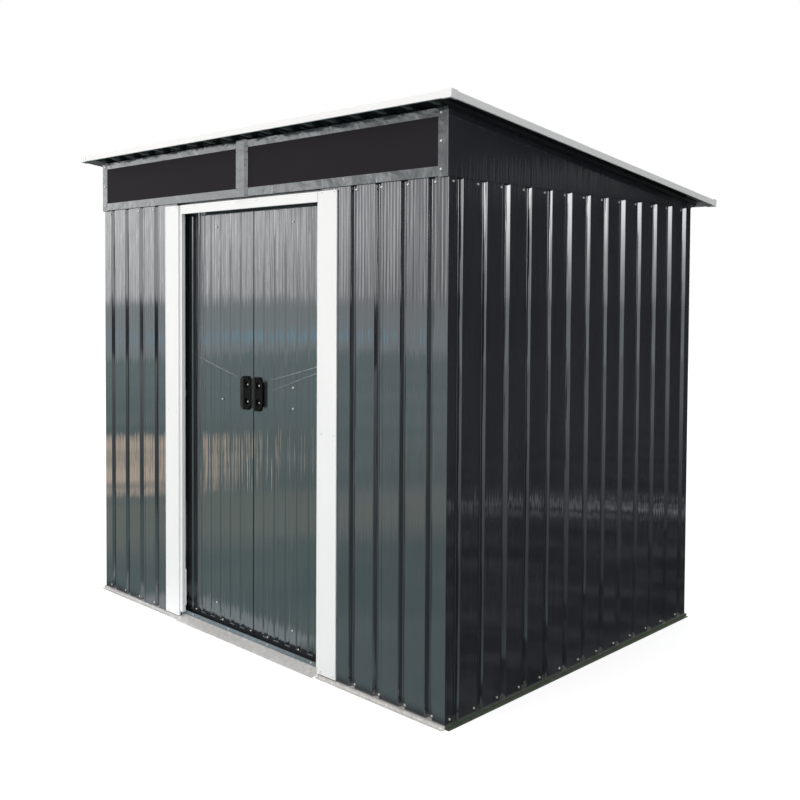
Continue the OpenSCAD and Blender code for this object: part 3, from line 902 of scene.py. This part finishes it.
def reflected_sky(t, way):
    """The strength and colour of a soft sky over a skyline, bright in front and dark to the right."""
    parts = t.node("ShaderNodeSeparateXYZ")
    t.link(way, parts.inputs[0])
    x, y, z = parts.outputs
    squeeze = t.node("ShaderNodeMapping")
    t.link(way, squeeze.inputs["Vector"])
    squeeze.inputs["Scale"].default_value = (1, 1, 0.12)
    upright = squeeze.outputs["Vector"]
    columns = t.span(t.noise(upright, 14.0, 3.0), 0.35, 0.65, 0.55, 1.45)
    gaps = t.span(t.noise(upright, 24.0, 2.0), 0.48, 0.62)

    # The bright sky low over the skyline, to the left and in front
    left = t.heading(x, y, *LEFT_WAY)
    glow = t.total(t.span(left, -0.1, 0.6, 0.0, 0.78, smooth=True),
                   t.span(left, 0.91, 0.98, smooth=True),
                   t.span(left, 0.982, 0.995, 0.0, 0.6, smooth=True))
    climb = t.span(z, -0.01, 0.08, 0.85, 1.13, smooth=True)
    front = t.times(t.span(t.heading(x, y, *FRONT_WAY), 0.80, 0.93, smooth=True),
                    t.span(z, 0.0, 0.115, 0.7, 5.2, smooth=True),
                    t.span(x, 0.305, 0.33, 0.2, 1.0, smooth=True))
    beside = t.total(t.span(t.heading(x, y, *BESIDE_WAY), 0.55, 0.9, 0.0, 0.6, smooth=True),
                     t.span(t.heading(x, y, *CORNER_WAY), 0.955, 0.985, 0.0, 1.1, smooth=True))
    tops = t.total(z, t.times(t.noise(way, 7.0, 4.0, 0.6), -0.040))
    above = t.span(tops, -0.034, -0.026, smooth=True)
    low = t.times(t.total(t.times(glow, columns, climb), front, beside), above,
                  t.span(z, 0.13, 0.30, 1.0, 0.0, smooth=True))

    # The cloud overhead, the haze and water below the skyline, and a faint sheen toward the back right
    cloud = t.span(z, 0.15, 0.45, smooth=True)
    haze = t.times(t.span(t.heading(x, y, *HAZE_WAY), -0.3, 0.5, 0.0, 0.9, smooth=True),
                   t.math("SUBTRACT", 1.0, above))
    water = t.times(t.within(tops, -0.069, 0.0045, 0.0070), t.span(left, 0.945, 0.96),
                    t.span(left, 0.982, 0.988, 1.0, 0.0))
    sheen = t.times(t.span(t.heading(x, y, *SHEEN_WAY), 0.9900, 0.9920, smooth=True),
                    t.span(z, 0.085, 0.115))
    strength = t.total(low, cloud, haze, t.times(gaps, 0.05), 0.015,
                       t.times(water, 0.6), t.times(sheen, 0.13))
    return strength, t.mix(water, t.mix(above, HAZE_TINT, SKY_TINT), WATER_TINT)


def add_world():
    """White to the camera, and an outdoor sky to every other ray."""
    world = bpy.data.worlds.new("world")
    bpy.context.scene.world = world
    t = Tree(world)
    strength, colour = reflected_sky(t, t.node("ShaderNodeTexCoord").outputs["Generated"])
    lit = t.put(t.node("ShaderNodeBackground"), Color=colour, Strength=strength)
    white = t.put(t.node("ShaderNodeBackground"), Color=(1, 1, 1, 1), Strength=1.0)
    t.by_camera("ShaderNodeOutputWorld", white, lit)


LAMP_AIM = Vector((0, 0, 0.9))
PLAIN_LIGHT = (1.0, 1.0, 1.0)
# Warm, to cancel the cool ground and sky on the white trims
WARM_LIGHT = (1.0, 0.82, 0.81)


def add_lamp(name, at, size, power, colour):
    data = bpy.data.lights.new(name, "AREA")
    data.shape = "RECTANGLE"
    data.size, data.size_y = size
    data.energy = power
    data.color = colour
    lamp = bpy.data.objects.new(name, data)
    lamp.location = at
    lamp.rotation_euler = (LAMP_AIM - Vector(at)).to_track_quat("-Z", "Y").to_euler()
    bpy.context.scene.collection.objects.link(lamp)


add_floor()
add_world()
add_lamp("key", (-1.5, -7.5, 5.0), (5, 4), 205, WARM_LIGHT)
add_lamp("side", (7.5, 0.5, 4.0), (4, 4), 55, PLAIN_LIGHT)

bpy.context.scene.view_settings.view_transform = "Standard"
